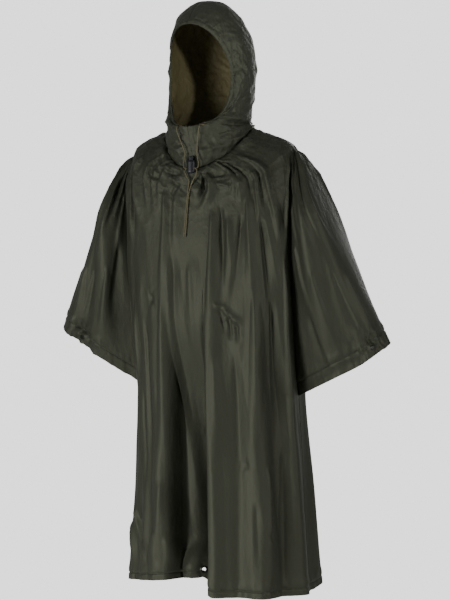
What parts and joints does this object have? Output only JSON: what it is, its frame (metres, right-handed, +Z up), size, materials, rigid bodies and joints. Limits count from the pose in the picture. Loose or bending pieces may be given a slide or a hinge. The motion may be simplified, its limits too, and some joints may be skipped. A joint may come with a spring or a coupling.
{
  "type": "hooded rain poncho",
  "caption": "Hooded rain poncho of thin coated nylon, hollow and hanging as worn, with wide wing sleeves, a drawcord hood with a sprung cord lock, a tarp eyelet and cuff studs.",
  "frame": {"origin": "at the base of the neck, midway between the two shoulders, where the wearer's neck and shoulders carry the poncho", "axes": "+Z up, -Y the front of the poncho, +X the wearer's left"},
  "size_m": [0.9234, 0.3808, 1.5362],
  "materials": {
    "nylon": "thin olive drab nylon with a smooth coating on the inside, soft sheen",
    "blackened_steel": "blackened steel, half matt",
    "black_plastic": "moulded nylon plastic, half matt",
    "cord": "braided khaki cord"
  },
  "bodies": {
    "poncho": {"front_panel": "nylon", "back_panel": "nylon", "sleeve_left": "nylon", "sleeve_right": "nylon", "hood_left": "nylon", "hood_right": "nylon", "hood_casing_left": "nylon", "hood_casing_right": "nylon", "hem_eyelet": "blackened_steel", "cuff_stud_left": "blackened_steel", "cuff_stud_right": "blackened_steel", "cord_lock_barrel": "black_plastic", "drawcord_left": "cord", "drawcord_right": "cord"},
    "plunger": {"cord_lock_plunger": "black_plastic"}
  },
  "joints": [
    {"name": "cord_lock_press", "type": "slide", "parent": "poncho", "child": "plunger", "axis": [0, 0, -1], "range_m": [0, 0.004], "stiffness_N_per_m": 500, "springref_m": -0.002}
  ]
}
